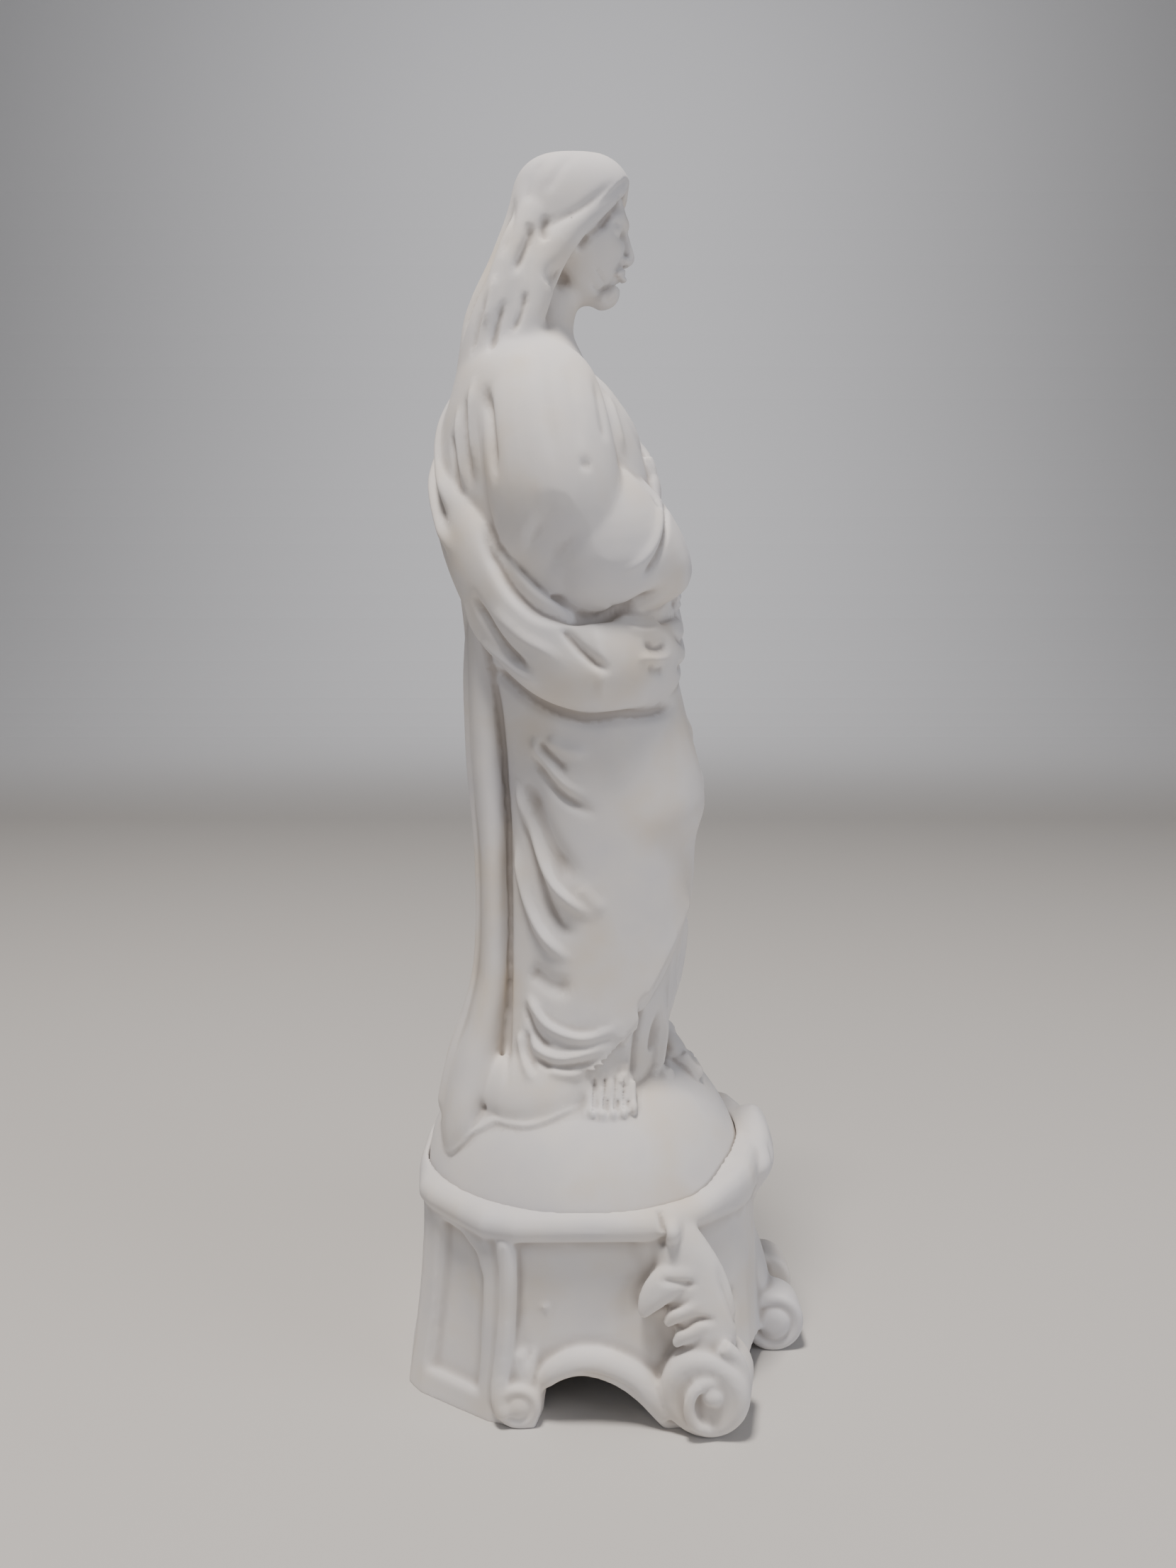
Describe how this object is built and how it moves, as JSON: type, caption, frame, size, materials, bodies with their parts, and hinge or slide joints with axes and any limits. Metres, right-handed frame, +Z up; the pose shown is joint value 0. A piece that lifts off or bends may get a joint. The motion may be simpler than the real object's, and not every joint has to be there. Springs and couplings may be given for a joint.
{
  "type": "devotional statuette",
  "caption": "Small white plaster devotional statue: a robed, long-haired figure standing on a half globe, set in a rococo pedestal on scrolled feet.",
  "frame": {"origin": "middle of the statue's box, on the surface that it stands on", "axes": "+Z up, the figure faces -Y, and its right arm is on the -X side"},
  "size_m": [0.1052, 0.101, 0.2998],
  "materials": {
    "figure_on_globe": "unpainted white cast plaster, matt and smooth",
    "pedestal": "unpainted white cast plaster, matt and smooth"
  },
  "bodies": {
    "root": {"figure_on_globe": "figure_on_globe", "pedestal": "pedestal"}
  },
  "joints": []
}
